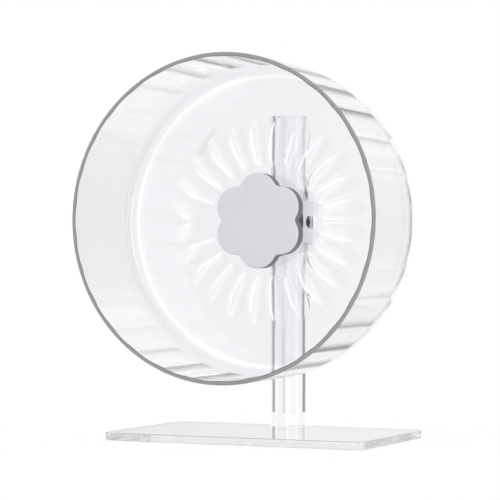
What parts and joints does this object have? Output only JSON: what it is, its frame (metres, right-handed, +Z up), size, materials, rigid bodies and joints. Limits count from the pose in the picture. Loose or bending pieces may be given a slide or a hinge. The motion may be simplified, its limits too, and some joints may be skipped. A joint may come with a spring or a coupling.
{
  "type": "rodent exercise wheel",
  "caption": "Clear fluted exercise wheel that spins on ball bearings, held by a sliding collar on a clear post with a flat base plate.",
  "frame": {"origin": "the post's axis at the underside of the base plate", "axes": "+Z up along the post, -Y along the axle to the drum's open front, +X to the right seen from the front"},
  "size_m": [0.21, 0.1319, 0.2485],
  "materials": {
    "clear_sheet": "polished clear acrylic sheet",
    "clear_rod": "polished clear acrylic rod",
    "clear_drum": "polished clear moulded plastic",
    "grey_plastic": "satin light grey moulding",
    "black_plastic": "satin black moulding",
    "bush_nylon": "natural nylon",
    "dark_steel": "black oxide steel",
    "brass_insert": "turned brass",
    "zinc_steel": "zinc plated steel",
    "bearing_steel": "ground bearing steel",
    "shield_steel": "pressed steel",
    "cage_nylon": "natural nylon"
  },
  "bodies": {
    "stand": {"base_plate": "clear_sheet", "post": "clear_rod"},
    "guide": {"lower_bush": "bush_nylon", "upper_bush": "bush_nylon"},
    "carriage": {"clamp_collar": "grey_plastic", "clamp_bush": "dark_steel", "axle_insert": "brass_insert", "axle_bolt": "zinc_steel", "bolt_washer": "zinc_steel", "race_spacer": "zinc_steel", "boss_spacer": "zinc_steel", "front_inner_race": "bearing_steel", "rear_inner_race": "bearing_steel"},
    "clamp_tip": {"clamp_pad": "bush_nylon"},
    "clamp": {"clamp_screw": "dark_steel"},
    "wheel": {"wheel_drum": "clear_drum", "hub_housing": "black_plastic", "hub_spacer": "black_plastic", "hub_screws": "zinc_steel", "flower_cap": "grey_plastic", "front_outer_race": "bearing_steel", "rear_outer_race": "bearing_steel", "front_bearing_shields": "shield_steel", "rear_bearing_shields": "shield_steel"},
    "front_ball_set": {"front_bearing_balls": "bearing_steel", "front_bearing_cage": "cage_nylon"},
    "rear_ball_set": {"rear_bearing_balls": "bearing_steel", "rear_bearing_cage": "cage_nylon"}
  },
  "joints": [
    {"name": "collar_height", "type": "slide", "parent": "stand", "child": "guide", "axis": [0, 0, 1], "range_m": [-0.033, 0.057]},
    {"name": "collar_swivel", "type": "hinge", "parent": "guide", "child": "carriage", "pos_m": [0, 0, 0.1435], "axis": [0, 0, 1], "continuous": true},
    {"name": "wheel_spin", "type": "hinge", "parent": "carriage", "child": "wheel", "pos_m": [0, -0.0324, 0.1435], "axis": [0, -1, 0], "continuous": true},
    {"name": "front_cage_spin", "type": "hinge", "parent": "carriage", "child": "front_ball_set", "pos_m": [0, -0.0389, 0.1435], "axis": [0, -1, 0], "continuous": true},
    {"name": "rear_cage_spin", "type": "hinge", "parent": "carriage", "child": "rear_ball_set", "pos_m": [0, -0.0259, 0.1435], "axis": [0, -1, 0], "continuous": true},
    {"name": "clamp_pad_slide", "type": "slide", "parent": "carriage", "child": "clamp_tip", "axis": [1, 0, 0], "range_m": [0, 0.0016]},
    {"name": "clamp_screw_turn", "type": "hinge", "parent": "clamp_tip", "child": "clamp", "pos_m": [0.0135, 0, 0.1435], "axis": [1, 0, 0], "range_deg": [0, 720]}
  ],
  "couplings": [
    {"joint": "front_cage_spin", "follows": "wheel_spin", "ratio": 0.6323},
    {"joint": "rear_cage_spin", "follows": "wheel_spin", "ratio": 0.6323},
    {"joint": "clamp_screw_turn", "follows": "clamp_pad_slide", "rad_per_m": 7854}
  ]
}
